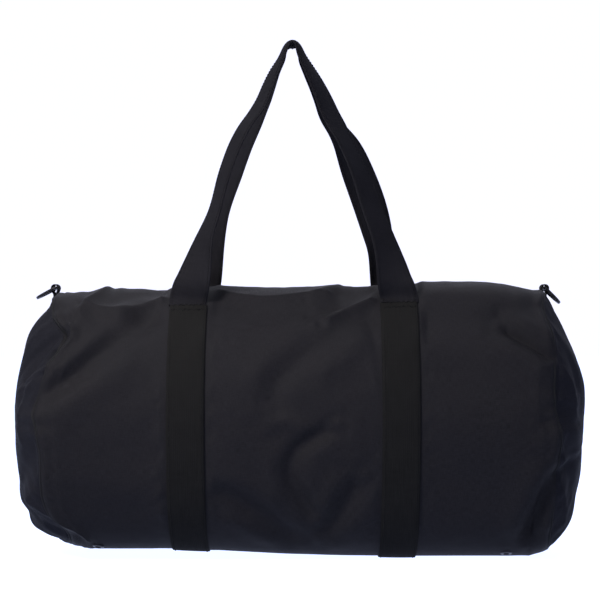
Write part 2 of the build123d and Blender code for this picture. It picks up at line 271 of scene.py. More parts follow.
def near_line(line, x, z):
    """Distance from each (x, z) to a polyline."""
    best = np.full(np.shape(x), 1e9)
    for (x0, z0), (x1, z1) in zip(line, line[1:]):
        dx, dz = x1 - x0, z1 - z0
        t = np.clip(((x - x0) * dx + (z - z0) * dz) / (dx * dx + dz * dz), 0, 1)
        best = np.minimum(best, np.hypot(x - x0 - t * dx, z - z0 - t * dz))
    return best


def lengthened(line, by):
    """The same polyline, longer by that much at both ends."""
    points = np.array(line, float)
    first = points[0] + unit(points[0] - points[1]) * by
    last = points[-1] + unit(points[-1] - points[-2]) * by
    return np.vstack([first, points, last])


def rounded(line):
    """The same polyline with its corners cut, as twice as many points."""
    fine = np.empty((2 * len(line) - 1, 2))
    fine[::2] = line
    fine[1::2] = (line[:-1] + line[1:]) / 2
    smooth = fine.copy()
    smooth[1:-1] = (fine[:-2] + 2 * fine[1:-1] + fine[2:]) / 4
    return smooth


def fold_relief(folds, x, z):
    """The height of soft and crisp folds at each (x, z). A fold fades out towards both its ends."""
    relief = np.zeros(np.shape(x))
    for kind, rows in folds.items():
        for line, width, height in rows:
            line = lengthened(line, 1.1 * width)
            away = near_line(rounded(line), x, z)
            (x0, z0), (x1, z1) = line[0], line[-1]
            ends = np.minimum(np.hypot(x - x0, z - z0), np.hypot(x - x1, z - z1))
            if kind == "soft":
                shape = np.exp(-((away / width) ** 2))
            else:
                shape = 0.6 * np.exp(-away / (0.55 * width)) + 0.4 * np.exp(-((away / (1.3 * width)) ** 2))
            relief += height * smoothstep(ends / (1.9 * width)) * shape
    return relief


def strap_centre(side, y):
    """The middle of a strap at a given y."""
    front, back = STRAPS[side]
    return front + (back - front) * (y / HALF_WIDTH + 1) / 2


def strap_share(x, y):
    """1 under a strap, 0 away from it."""
    share = np.zeros(np.shape(x))
    for side in SIDES:
        away = np.abs(x - strap_centre(side, y))
        share = np.maximum(share, 1 - smoothstep((away - WEBBING_W / 2 - 1) / 9))
    return share


def trough_drop(x):
    """How far the zipper's bed sinks so that it stays just below the fabric beside it."""
    return np.maximum(0, TROUGH_Z - (curve(RIDGE_LINE, x) - 1.8))


def place(x, rows):
    """Barrel points for an array of x and an array of (y, z) rows, before folds."""
    x = np.asarray(x, float)[:, None]
    y, z = rows[None, :, 0], rows[None, :, 1]
    taper = np.clip((np.abs(x) - TAPER_X) / (SEAM_X - TAPER_X), 0, 1)
    shrink = 1 - taper * DRAW_IN / HALF_WIDTH
    y = y * shrink
    z = AXIS_Z + (z - AXIS_Z) * shrink
    drop = RIDGE_Z - curve(RIDGE_LINE, x) - taper * DRAW_IN
    shoulder = smoothstep((np.abs(y) - 13) / 17)
    drop = drop * shoulder * (1 - 0.35 * strap_share(x, y)) + trough_drop(x) * (1 - shoulder)
    z = z - drop * smoothstep((z - 185) / 85)
    lift = curve(UNDERSIDE, x)
    z = z + lift * smoothstep((90 - z) / 90)
    return np.stack(np.broadcast_arrays(x, y, z), axis=-1)


def seam_shift(points, weight):
    """Moves points along X so that the end seam wanders as the photographed one does."""
    x, y, z = points[..., 0], points[..., 1], points[..., 2]
    moved = x.copy()
    for side, sign in SIDES.items():
        front = curve(SEAM_SHIFT[side], z)
        other = 5 * np.sin(z / 31 + sign) + 3 * np.sin(z / 13)
        share = smoothstep((-y + 20) / 80)
        shift = (front * share + other * (1 - share)) * smoothstep((285 - z) / 24)
        moved = moved + np.where(np.sign(x) == sign, shift * weight, 0)
    out = points.copy()
    out[..., 0] = moved
    return out


def grid_normals(points):
    """Outward unit normals of a grid whose first index runs along X and second around the barrel."""
    along = np.gradient(points, axis=0)
    around = np.gradient(points, axis=1)
    return unit(np.cross(around, along))


def relief(points, lengths):
    """How far the fabric stands off the plain barrel, for a grid of points and its lengths around."""
    x, y, z = points[..., 0], points[..., 1], points[..., 2]
    around = np.broadcast_to(lengths[None, :], x.shape)
    front = smoothstep((-y - 12) / 22)
    back = smoothstep((y - 12) / 22)
    total = fold_relief(FRONT_FOLDS, x, z) * front + fold_relief(BACK_FOLDS, x, z) * back
    total += 0.8 * ripple(x, around, 70, 190, 26, 3)
    total += 0.10 * ripple(x, around, 14, 34, 40, 5)
    # Puckers along the end seams, the seam's groove, and the ridge beside it.
    edge = SEAM_X - np.abs(x)
    pucker = np.exp(-((edge / 16) ** 2)) * np.sin(around / 4.2 + 2.2 * np.sin(around / 17))
    total += 0.9 * pucker * (0.5 + 0.5 * np.sin(around / 29 + np.sign(x)))
    total -= 3.0 * np.exp(-((edge / 3.4) ** 2))
    total += 1.9 * np.exp(-(((edge - 8) / 5.5) ** 2))
    # Small puckers beside the straps, and the line that each strap's edge presses in.
    for side in SIDES:
        offset = x - strap_centre(side, y)
        away = np.abs(offset) - WEBBING_W / 2
        beside = np.exp(-(((away - 5) / 6) ** 2)) * (away > -4)
        total += 0.8 * beside * np.sin(around / 6.5 + 3 * np.sin(around / 41 + offset / 30)) * (z > 30)
        total -= 1.0 * np.exp(-((away / 3.5) ** 2))
    # Less of it all under the straps, along the zipper and on the underside.
    calm = 1 - 0.86 * strap_share(x, y)
    zipper = smoothstep((np.abs(y) - 14) / 16) + (z < 100)
    under = smoothstep((z - 3) / 22)
    return total * calm * np.clip(zipper, 0.12, 1) * (0.12 + 0.88 * under)


X_HALF = int(round(SEAM_X / X_STEP))
XS = np.linspace(-SEAM_X, SEAM_X, 2 * X_HALF + 1)


def barrel_grid(rows, lengths):
    points = place(XS, rows)
    normals = grid_normals(points)
    points = points + normals * relief(points, lengths)[..., None]
    weight = smoothstep((np.abs(points[..., 0]) - 190) / (SEAM_X - 190))
    return seam_shift(points, weight)


GRID = barrel_grid(ROWS, ROW_LENGTHS)
GRID_NORMALS = grid_normals(GRID)


def on_barrel(x, length, lift=0.0):
    """A point on the finished barrel at x and a length around it, raised by lift."""
    x, length = np.broadcast_arrays(np.asarray(x, float), np.asarray(length, float))
    col = np.clip((x + SEAM_X) / (2 * SEAM_X) * (len(XS) - 1), 0, len(XS) - 1.001)
    row = np.interp(length, ROW_LENGTHS, np.arange(LAST + 1))
    row = np.clip(row, 0, LAST - 0.001)
    c, r = col.astype(int), row.astype(int)
    u, v = (col - c)[..., None], (row - r)[..., None]

    def mix(grid):
        low = grid[c, r] * (1 - v) + grid[c, r + 1] * v
        high = grid[c + 1, r] * (1 - v) + grid[c + 1, r + 1] * v
        return low * (1 - u) + high * u

    return mix(GRID) + unit(mix(GRID_NORMALS)) * np.asarray(lift)[..., None]


def off_barrel(x, length, lift=0.0):
    """The same point, and the outward normal there."""
    point = on_barrel(x, length, lift)
    return point, unit(on_barrel(x, length, lift + 1.0) - point)


FRONT_ROWS = ROWS[: LAST // 2 + 1]
FRONT_LENGTHS = ROW_LENGTHS[: LAST // 2 + 1]


def length_at(z, face):
    """The length around the plain section at height z, on the upper half of one face."""
    pick = (FRONT_ROWS[:, 1] >= AXIS_Z) & (np.abs(FRONT_ROWS[:, 0]) >= RIDGE_Y)
    front = float(np.interp(z, FRONT_ROWS[pick, 1][::-1], FRONT_LENGTHS[pick][::-1]))
    return front if face < 0 else ROW_LENGTHS[-1] - front


# ---- Meshes ------------------------------------------------------------------------------------
def sharpen_caps(mesh):
    """Keeps flat end caps from rounding the shading of the walls beside them."""
    edges = np.zeros(len(mesh.loops), int)
    mesh.loops.foreach_get("edge_index", edges)
    sharp = np.zeros(len(mesh.edges), bool)
    for polygon in mesh.polygons:
        if polygon.loop_total > 4:
            first = polygon.loop_start
            sharp[edges[first : first + polygon.loop_total]] = True
    attribute = mesh.attributes.new("sharp_edge", "BOOLEAN", "EDGE")
    attribute.data.foreach_set("value", sharp)


def make_object(name, points, faces, body, material, uv=None, corners=None):
    """A smooth-shaded piece from points; uv holds metres per vertex. A piece given no body is left
    unattached.
    """
    points = np.asarray(points, float) * MM
    mesh = bpy.data.meshes.new(name)
    mesh.from_pydata([tuple(p) for p in points], [], [tuple(f) for f in faces])
    mesh.update()
    mesh.polygons.foreach_set("use_smooth", [True] * len(mesh.polygons))
    if uv is not None:
        layer = mesh.uv_layers.new(name="UVMap")
        loops = np.zeros(len(mesh.loops), int)
        mesh.loops.foreach_get("vertex_index", loops)
        layer.data.foreach_set("uv", np.asarray(uv, float)[loops].ravel())
    if corners is not None:
        mesh.normals_split_custom_set(corners)
    else:
        sharpen_caps(mesh)
    obj = bpy.data.objects.new(name, mesh)
    bpy.context.scene.collection.objects.link(obj)
    obj.data.materials.append(material)
    if body is not None:
        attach(obj, body)
    return obj


def sheet(points, normals, thickness, uv, keep=None):
    """A grid given a thickness inwards, as vertices, faces, uv and corner normals; keep marks its cells."""
    columns, rows = points.shape[:2]
    if keep is None:
        keep = np.ones((columns - 1, rows - 1), bool)
    count = columns * rows
    index = np.arange(count).reshape(columns, rows)
    verts = np.vstack([points.reshape(-1, 3), (points - normals * thickness).reshape(-1, 3)])
    flat = normals.reshape(-1, 3)
    padded = np.zeros((columns + 1, rows + 1), bool)
    padded[1:-1, 1:-1] = keep
    faces, corners = [], []

    def wall(a, b):
        faces.append((a, a + count, b + count, b))
        away = unit(np.cross(verts[a + count] - verts[a], verts[b] - verts[a]))
        corners.extend([away] * 4)

    for c, r in zip(*np.nonzero(keep)):
        a, b, e, d = index[c, r], index[c + 1, r], index[c + 1, r + 1], index[c, r + 1]
        faces.append((a, d, e, b))
        corners.extend(flat[[a, d, e, b]])
        faces.append((a + count, b + count, e + count, d + count))
        corners.extend(-flat[[a, b, e, d]])
        if not padded[c, r + 1]:
            wall(a, d)
        if not padded[c + 2, r + 1]:
            wall(e, b)
        if not padded[c + 1, r]:
            wall(b, a)
        if not padded[c + 1, r + 2]:
            wall(d, e)
    uvs = np.vstack([uv.reshape(-1, 2)] * 2)
    used = np.unique(np.concatenate([np.array(f) for f in faces]))
    fresh = np.full(len(verts), -1)
    fresh[used] = np.arange(len(used))
    faces = [tuple(int(i) for i in fresh[list(f)]) for f in faces]
    return verts[used], faces, uvs[used], corners


def grid_uv(xs, lengths):
    return np.stack(np.meshgrid(xs * MM, lengths * MM, indexing="ij"), axis=-1)


def tube_faces(rings, size, base=0):
    """Quads between neighbouring rings of size points each, and a cap at both ends."""
    faces = []
    for first in range(base, base + (rings - 1) * size, size):
        for k in range(size):
            n = (k + 1) % size
            faces.append((first + k, first + n, first + size + n, first + size + k))
    faces.append(tuple(range(base, base + size))[::-1])
    faces.append(tuple(range(base + (rings - 1) * size, base + rings * size)))
    return faces


def ribbon(centres, across, half_width, thickness, curl=0.0, edge=0.45):
    """Vertices, faces and uv of a band that follows centres, with its width along across."""
    centres = np.asarray(centres, float)
    along = unit(np.gradient(centres, axis=0))
    across = unit(across - along * np.sum(across * along, axis=1, keepdims=True))
    up = np.cross(along, across)
    columns = np.linspace(-1, 1, 11)
    top = [(c * (half_width - edge), thickness / 2) for c in columns]
    corner = (half_width - 0.12, thickness / 2 - 0.3)
    loop = top + [corner, (half_width, 0), (corner[0], -corner[1])]
    loop += [(c * (half_width - edge), -thickness / 2) for c in columns[::-1]]
    loop += [(-corner[0], -corner[1]), (-half_width, 0), (-corner[0], corner[1])]
    loop = np.array(loop[::-1])
    curl = np.broadcast_to(np.asarray(curl, float), len(centres))
    lengths = run_lengths(centres)
    size = len(loop)
    verts = np.empty((len(centres), size, 3))
    for k, (w, h) in enumerate(loop):
        bow = curl * ((w / half_width) ** 2 - 0.35)
        verts[:, k] = centres + across * w + up * (h + bow)[:, None]
    uv = np.stack(np.broadcast_arrays(loop[None, :, 0] * MM, lengths[:, None] * MM), axis=-1)
    return verts.reshape(-1, 3), tube_faces(len(centres), size), uv.reshape(-1, 2)


def stitches(starts, ends, ups, radius=0.3, sink=0.18):
    """Short threads from starts to ends, each a slim rounded bar that dips in at both ends."""
    verts, faces = [], []
    ring = [(math.cos(a), math.sin(a)) for a in np.linspace(0, 2 * math.pi, 7)[:-1]]
    profile = [(0.0, 0.25, -sink), (0.14, 0.85, 0.1), (0.5, 1.0, 0.3), (0.86, 0.85, 0.1), (1.0, 0.25, -sink)]
    for start, end, up in zip(starts, ends, ups):
        along = end - start
        side = np.cross(up, along)
        side = side / max(np.linalg.norm(side), 1e-9)
        faces += tube_faces(len(profile), len(ring), len(verts))
        for share, size, lift in profile:
            middle = start + along * share + up * lift
            for a, b in ring:
                verts.append(middle + side * (a * radius * size) + up * (b * radius * size))
    return np.array(verts), faces


def stitch_row(path, ups, pitch=3.6, fill=0.72, **more):
    """Stitches along a polyline."""
    lengths = run_lengths(path)
    at = np.arange(pitch / 2, lengths[-1] - pitch, pitch)

    def read(values, where):
        return np.stack([np.interp(where, lengths, values[:, k]) for k in range(3)], axis=1)

    return stitches(read(path, at), read(path, at + pitch * fill), unit(read(ups, at)), **more)


def join(parts):
    """Several (verts, faces) as one."""
    verts, faces, base = [], [], 0
    for points, polys in parts:
        verts.append(points)
        faces += [tuple(i + base for i in f) for f in polys]
        base += len(points)
    return np.vstack(verts), faces


# ---- Materials ---------------------------------------------------------------------------------
def node_material(name):
    material = bpy.data.materials.new(name)
    material.use_nodes = True
    tree = material.node_tree
    shader = tree.nodes["Principled BSDF"]
    return material, tree, shader


def add(tree, kind, **settings):
    node = tree.nodes.new(kind)
    for key, value in settings.items():
        if key in node.inputs:
            node.inputs[key].default_value = value
        else:
            setattr(node, key, value)
    return node


def maths(tree, operation, first, second=None):
    node = tree.nodes.new("ShaderNodeMath")
    node.operation = operation
    for socket, value in zip(node.inputs, (first, second)):
        if value is None:
            continue
        if isinstance(value, (int, float)):
            socket.default_value = value
        else:
            tree.links.new(value, socket)
    return node.outputs[0]


def wave(tree, coordinate, length_m):
    return maths(tree, "SINE", maths(tree, "MULTIPLY", coordinate, 2 * math.pi / length_m))


def weighted_sum(tree, first, *others):
    """The sum of (socket, weight) pairs."""
    total = maths(tree, "MULTIPLY", *first)
    for pair in others:
        total = maths(tree, "ADD", total, maths(tree, "MULTIPLY", *pair))
    return total


def uv_parts(tree):
    source = tree.nodes.new("ShaderNodeUVMap")
    split = tree.nodes.new("ShaderNodeSeparateXYZ")
    tree.links.new(source.outputs[0], split.inputs[0])
    return source.outputs[0], split.outputs[0], split.outputs[1]


def stretched_noise(tree, vector, scale, detail=2.0, rough=0.5):
    """Noise of unit size on coordinates scaled by scale."""
    mapping = tree.nodes.new("ShaderNodeMapping")
    mapping.inputs["Scale"].default_value = scale
    tree.links.new(vector, mapping.inputs[0])
    noise = add(tree, "ShaderNodeTexNoise", Scale=1.0, Detail=detail, Roughness=rough)
    tree.links.new(mapping.outputs[0], noise.inputs["Vector"])
    return noise.outputs["Fac"]


def ramp(tree, factor, stops):
    """A colour that goes from the first stop to the second; a stop is (position, colour)."""
    node = tree.nodes.new("ShaderNodeValToRGB")
    for element, (at, colour) in zip(node.color_ramp.elements, stops):
        element.position = at
        element.color = (*colour, 1)
    tree.links.new(factor, node.inputs[0])
    return node.outputs[0]


def bump(tree, shader, height, strength, distance, under=None):
    node = add(tree, "ShaderNodeBump", Strength=strength, Distance=distance)
    tree.links.new(height, node.inputs["Height"])
    if under is not None:
        tree.links.new(under, node.inputs["Normal"])
    tree.links.new(node.outputs[0], shader.inputs["Normal"])
    return node.outputs[0]


THREAD_M = 0.00055  # from one pair of the fabric's threads to the next
RIB_M, PICK_M = 0.0019, 0.0014  # the webbing's ribs and cross threads


def fabric_material(name, dark, light, ior=1.085):
    """Fine plain-weave nylon: crossing threads, slubs along both ways, and soft blotches."""
    material, tree, shader = node_material(name)
    vector, u, v = uv_parts(tree)
    weave = maths(tree, "MULTIPLY", wave(tree, u, THREAD_M), wave(tree, v, THREAD_M))
    slub_u = stretched_noise(tree, vector, (1100, 170, 1), 3)
    slub_v = stretched_noise(tree, vector, (170, 1100, 1), 3)
    cloud = stretched_noise(tree, vector, (14, 14, 1), 4)
    slubs = maths(tree, "ADD", slub_u, slub_v)
    tone = weighted_sum(tree, (slubs, 0.56), (cloud, 0.1), (weave, 0.03))
    tree.links.new(ramp(tree, tone, [(0.34, dark), (0.8, light)]), shader.inputs["Base Color"])
    roughness = maths(tree, "ADD", maths(tree, "MULTIPLY", cloud, 0.16), 0.47)
    tree.links.new(roughness, shader.inputs["Roughness"])
    shader.inputs["IOR"].default_value = ior
    fine = bump(tree, shader, weave, 0.35, 0.00012)
    bump(tree, shader, slubs, 0.5, 0.00022, fine)
    return material


def webbing_material(name, dark, light, ior=1.045):
    """Heavy webbing: ribs along its length, and cross threads that dip between them."""
    material, tree, shader = node_material(name)
    vector, u, v = uv_parts(tree)
    ribs = wave(tree, u, RIB_M)
    picks = wave(tree, v, PICK_M)
    weave = maths(tree, "ADD", ribs, maths(tree, "MULTIPLY", maths(tree, "MULTIPLY", ribs, picks), 0.8))
    slub = stretched_noise(tree, vector, (700, 40, 1), 2)
    cross = stretched_noise(tree, vector, (60, 420, 1), 2)
    cloud = stretched_noise(tree, vector, (30, 30, 1), 3)
    tone = weighted_sum(tree, (slub, 0.4), (cross, 0.35), (cloud, 0.25), (weave, 0.06))
    tree.links.new(ramp(tree, tone, [(0.3, dark), (0.78, light)]), shader.inputs["Base Color"])
    shader.inputs["Roughness"].default_value = 0.6
    shader.inputs["IOR"].default_value = ior
    bump(tree, shader, weave, 0.35, 0.00018)
    return material


def hard_material(name, colour, rough, metallic=0.0, specular=0.2, grain=0.05):
    """Smooth hard finish with fine unevenness in gloss and surface."""
    material, tree, shader = node_material(name)
    vector = tree.nodes.new("ShaderNodeTexCoord").outputs["Object"]
    scuffs = stretched_noise(tree, vector, (420, 420, 420), 4, 0.6)
    wide = stretched_noise(tree, vector, (90, 90, 90), 3)
    worn = tuple(min(1.0, c * 1.9 + 0.006) for c in colour)
    tree.links.new(ramp(tree, scuffs, [(0.45, colour), (0.85, worn)]), shader.inputs["Base Color"])
    uneven = maths(tree, "ADD", maths(tree, "MULTIPLY", wide, grain * 3), rough - grain)
    tree.links.new(uneven, shader.inputs["Roughness"])
    shader.inputs["Metallic"].default_value = metallic
    shader.inputs["Specular IOR Level"].default_value = specular
    bump(tree, shader, scuffs, grain, 0.0002)
    return material


FABRIC = fabric_material("nylon_plain_weave", (0.0038, 0.0036, 0.0042), (0.0098, 0.0094, 0.0108))
# A bluer copy of the nylon for the ends: its blue tint is painted reflection of the pale blue surroundings
# that the slanting ends catch.
END_REFLECTION_TONES = (0.0041, 0.0041, 0.0052), (0.0098, 0.0098, 0.0124)
END_FABRIC_PAINTED_REFLECTION = fabric_material("nylon_plain_weave_ends_painted_reflection", *END_REFLECTION_TONES, ior=1.045)
WEBBING = webbing_material("webbing_rib", (0.0044, 0.0043, 0.0042), (0.0084, 0.0082, 0.0082))
# A lighter, bluer copy of the straps' webbing for the handles: painted light and painted bluish reflection,
# for handles that stand higher in the light.
HANDLE_LIT_TONES = (0.0052, 0.0050, 0.0060), (0.0101, 0.0098, 0.0115)
HANDLE_PAINTED_LIGHT = webbing_material("webbing_rib_handle_painted_light", *HANDLE_LIT_TONES, ior=1.03)
TAPE = webbing_material("zipper_tape_weave", (0.006, 0.006, 0.0064), (0.011, 0.011, 0.012), ior=1.06)
THREAD = hard_material("stitch_thread", (0.002, 0.002, 0.0024), 0.8, specular=0.05)
COIL = hard_material("nylon_coil", (0.005, 0.005, 0.0055), 0.4, specular=0.15)
RING = hard_material("gloss_black_metal", (0.006, 0.006, 0.0072), 0.34, specular=0.07)
METAL = hard_material("dark_metal", (0.02, 0.02, 0.022), 0.36, metallic=0.8)


# ---- Fabric: barrel, lips and ends ---------------------------------------------------------------
LIP_COLUMNS = np.nonzero(np.abs((XS[:-1] + XS[1:]) / 2) < LIP_END_X)[0]  # the cells that the lips take


def build_body():
    """The barrel in three lengths that meet under the straps."""
    keep = np.ones((len(XS) - 1, LAST), bool)
    keep[np.ix_(LIP_COLUMNS, np.arange(LIP_ROWS))] = False
    keep[np.ix_(LIP_COLUMNS, np.arange(LAST - LIP_ROWS, LAST))] = False
    cuts = [0] + [int(np.argmin(np.abs(XS - sum(STRAPS[name]) / 2))) for name in SIDES] + [len(XS) - 1]
    for part, first, last in zip(("left", "middle", "right"), cuts, cuts[1:]):
        span = slice(first, last + 1)
        uv = grid_uv(XS[span], ROW_LENGTHS)
        verts, faces, uv, corners = sheet(GRID[span], GRID_NORMALS[span], FABRIC_T, uv, keep[first:last])
        body = make_object(f"barrel_fabric_{part}", verts, faces, "bag", FABRIC, uv, corners)
        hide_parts("body_panel")


def blend_lip(obj):
    """Bakes the piece's placement into its mesh."""
    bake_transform(obj)


def build_lips():
    """Each lip in two halves, with a tongue that goes under the fabric beyond its hinge."""
    tuck = 4
    columns_of = {
        "left": slice(LIP_COLUMNS[0], X_HALF + 1),
        "right": slice(X_HALF, LIP_COLUMNS[-1] + 2),
    }
    for face_name, face in FACES.items():
        if face < 0:
            own, hinge = slice(0, LIP_ROWS + 1), slice(LIP_ROWS, LIP_ROWS + 1)
            beyond = slice(LIP_ROWS + 1, LIP_ROWS + 1 + tuck)
        else:
            own, hinge = slice(LAST - LIP_ROWS, LAST + 1), slice(LAST - LIP_ROWS, LAST - LIP_ROWS + 1)
            beyond = slice(LAST - LIP_ROWS - tuck, LAST - LIP_ROWS)
        for side_name, side in SIDES.items():
            columns = columns_of[side_name]
            rows = [(own, 0, 0), (hinge, FABRIC_T + 0.5, 1.5), (beyond, FABRIC_T + 0.5, 1.5)][::-face]
            points, normals, lengths = [], [], []
            for span, depth, slack in rows:
                points.append(GRID[columns, span] - GRID_NORMALS[columns, span] * depth)
                normals.append(GRID_NORMALS[columns, span])
                lengths.append(ROW_LENGTHS[span] - face * slack)
            points, normals = np.concatenate(points, axis=1), np.concatenate(normals, axis=1)
            uv = grid_uv(XS[columns], np.concatenate(lengths))
            verts, faces, uv, corners = sheet(points, normals, FABRIC_T, uv)
            name = f"lip_fabric_{face_name}_{side_name}"
            lip = make_object(name, verts, faces, None, FABRIC, uv, corners)
            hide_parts(f"lip_{face_name}")
            blend_lip(lip)


def build_bindings():
    """The tape folded over the turned-in end seams, inside the bag."""
    for name, side in SIDES.items():
        column = 2 if side < 0 else len(XS) - 3
        ring = GRID[column] - GRID_NORMALS[column] * (FABRIC_T + 1.4)
        across = np.linspace(ring[-1], ring[0], 7)[1:-1]
        ring = np.vstack([ring, across])
        ring = resample(np.vstack([ring, ring[:1]]), 260)
        ring[:, 0] += 0.35 * np.sin(np.arange(len(ring)) / 3.7)
        inward = unit(((0, 0, AXIS_Z) - ring) * (0, 1, 1))
        along = unit(np.gradient(ring, axis=0))
        verts, faces, uv = ribbon(ring, np.cross(along, inward), 4.0, 2.0, edge=0.9)
        tape = make_object(f"seam_tape_{name}", verts, faces, "bag", TAPE, uv)
        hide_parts(f"seam_binding_{name}")


# How far an end stands out of its seam, by the share of the way from its middle to the seam.
DOME_PROFILE = [
    (0.0, 40.3), (0.3, 39.3), (0.5, 35.8), (0.66, 29.8), (0.8, 21.2), (0.9, 11.8), (0.955, 5.4),
    (0.985, 1.7), (1.0, 0.0),
]
# How full each end is at each height.
END_FULLNESS = {
    "left": [
        (0, 5.6), (13, 4.4), (26, 2.5), (39, 1.5), (59, 1.22), (86, 0.93), (119, 0.91), (144, 0.93),
        (178, 0.93), (212, 0.88), (246, 0.92), (263, 0.85), (284, 0.8),
    ],
    "right": [
        (0, 0.8), (17, 0.95), (34, 0.96), (68, 0.88), (144, 0.9), (178, 0.92), (212, 0.84), (246, 0.72),
        (263, 0.66), (284, 0.5),
    ],
}


def end_grid(name, side):
    """Rings of points from the seam to the middle of an end, and the size of each ring."""
    seam = GRID[0 if side < 0 else -1]
    across = np.linspace(-1, 1, 9)[1:-1]
    bed = np.linspace(seam[-1], seam[0], 9)[1:-1]
    bed[:, 2] -= 0.2 * (1 - across**2)
    ring = np.vstack([seam, bed])
    centre = np.array([0, 0, AXIS_Z - 4])
    sizes = np.concatenate([np.linspace(1, 0.9, 10), np.linspace(0.9, 0.05, 36)[1:]])
    layers = []
    for size, out in zip(sizes, curve(DOME_PROFILE, sizes)):
        layer = centre + (ring - centre) * size
        full = curve(END_FULLNESS[name], layer[:, 2])
        layer[:, 0] = side * SEAM_X + (ring[:, 0] - side * SEAM_X) * size**3 + side * out * full
        layers.append(layer)
    return np.array(layers), sizes


def dome(layers, thickness):
    """Vertices, faces and uv of closed rings given a thickness inwards, with a fan in the smallest."""
    count, around = layers.shape[:2]
    wrapped = np.concatenate([layers[:, -1:], layers, layers[:, :1]], axis=1)
    normals = grid_normals(wrapped)[:, 1:-1]
    outward = normals if layers[-1, 0, 0] > 0 else -normals
    middle = layers[-1].mean(axis=0)
    pole = unit(outward[-1].mean(axis=0))
    outer = np.vstack([layers.reshape(-1, 3), middle])
    inner = np.vstack([(layers - outward * thickness).reshape(-1, 3), middle - pole * thickness])
    total = len(outer)
    faces = []
    for i in range(count):
        for k in range(around):
            n = (k + 1) % around
            a, b = i * around + k, i * around + n
            if i < count - 1:
                faces.append((a, b, b + around, a + around))
                faces.append((a + total, a + around + total, b + around + total, b + total))
            else:
                faces.append((a, b, total - 1))
                faces.append((a + total, 2 * total - 1, b + total))
            if i == 0:
                faces.append((a, a + total, b + total, b))
    if layers[-1, 0, 0] < 0:
        faces = [f[::-1] for f in faces]
    verts = np.vstack([outer, inner])
    return verts, faces, verts[:, 1:] * MM


END_FOLDS = {
    "left": {
        "soft": [
            ([(-116, 238), (-109, 222), (-106, 206)], 8, -9.0),
            ([(-110, 232), (-80, 205), (-92, 165)], 10, -3.6),
            ([(-128, 112), (-90, 92), (-70, 70)], 11, -3.4),
            ([(-40, 262), (-36, 214), (-10, 170)], 12, -2.8),
            ([(60, 250), (52, 200), (80, 150)], 12, -3.0),
            ([(20, 30), (10, 70), (-20, 110)], 12, -2.6),
        ],
        "crisp": [
            ([(-101, 238), (-98, 222), (-99, 204)], 5, 5.0),
            ([(-118, 190), (-96, 160), (-104, 120)], 9, 3.4),
            ([(-122, 80), (-92, 66), (-60, 32)], 9, 3.2),
            ([(110, 90), (80, 80), (50, 40)], 10, 2.6),
        ],
    },
    "right": {
        "soft": [
            ([(-116, 240), (-86, 214), (-84, 176)], 10, -3.0),
            ([(-130, 128), (-100, 104), (-84, 74)], 10, -3.0),
            ([(-30, 262), (-10, 220), (-24, 180)], 12, -2.6),
            ([(50, 256), (60, 210), (40, 160)], 12, -3.0),
            ([(0, 30), (24, 66), (10, 110)], 12, -2.6),
        ],
        "crisp": [
            ([(-124, 214), (-104, 188), (-100, 150)], 9, 3.2),
            ([(-126, 96), (-104, 74), (-76, 36)], 9, 3.4),
            ([(116, 100), (84, 84), (60, 44)], 10, 2.6),
        ],
    },
}


def build_ends():
    """The domed ends, with their folds, small puckers along the seam, and slow unevenness."""
    for name, side in SIDES.items():
        layers, sizes = end_grid(name, side)
        y, z = layers[..., 1], layers[..., 2]
        rim = smoothstep((1 - sizes) / 0.05)[:, None]
        lift = fold_relief(END_FOLDS[name], y, z) * rim
        lift += 0.9 * ripple(y, z, 45, 120, 24, 11 + side) * rim
        turn = np.arctan2(z - AXIS_Z, y)
        edge = np.exp(-(((1 - sizes) / 0.07) ** 2))[:, None]
        lift += 1.1 * np.sin(turn * 34 + 2 * np.sin(turn * 5)) * edge * rim
        outward = np.stack([np.full_like(y, side * 0.8), 0.6 * np.cos(turn), 0.6 * np.sin(turn)], axis=-1)
        layers = layers + outward * lift[..., None]
        verts, faces, uv = dome(layers, FABRIC_T)
        # The ends wear the bluer copy of the nylon, whose tint is painted reflection.
        end = make_object(f"end_fabric_{name}", verts, faces, "bag", END_FABRIC_PAINTED_REFLECTION, uv)
        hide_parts(f"end_panel_{name}")


# ---- Straps and handles ------------------------------------------------------------------------
ROW_LENGTH = {face: length_at(ROW_Z, face) for face in (-1, 1)}


def strap_path(name, inset=0.0, lift=WEBBING_LIFT, trim=0.0, step=3.5):
    """Points along a strap from its front row, under the bag, to its back row, with outward normals."""
    start, end = ROW_LENGTH[-1] + trim, ROW_LENGTH[1] - trim
    lengths = np.linspace(start, end, round((end - start) / step) + 1)
    y = np.interp(lengths, ROW_LENGTHS, ROWS[:, 0])
    return off_barrel(strap_centre(name, y) + inset, lengths, lift)


def build_straps():
    for name in SIDES:
        centres = strap_path(name)[0]
        left = strap_path(name, inset=1 - WEBBING_W / 2)[0]
        right = strap_path(name, inset=WEBBING_W / 2 - 1)[0]
        verts, faces, uv = ribbon(centres, right - left, WEBBING_W / 2, WEBBING_T, curl=-0.25)
        strap = make_object(f"strap_webbing_{name}", verts, faces, "bag", WEBBING, uv)
        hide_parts(f"strap_{name}")
        rows = []
        for inset in (-STITCH_X, STITCH_X):
            path, ups = strap_path(name, inset=inset, lift=WEBBING_T + 0.05, trim=3)
            rows.append(stitch_row(path, ups))
        verts, faces = join(rows)
        make_object(f"strap_stitches_{name}", verts, faces, "bag", THREAD)


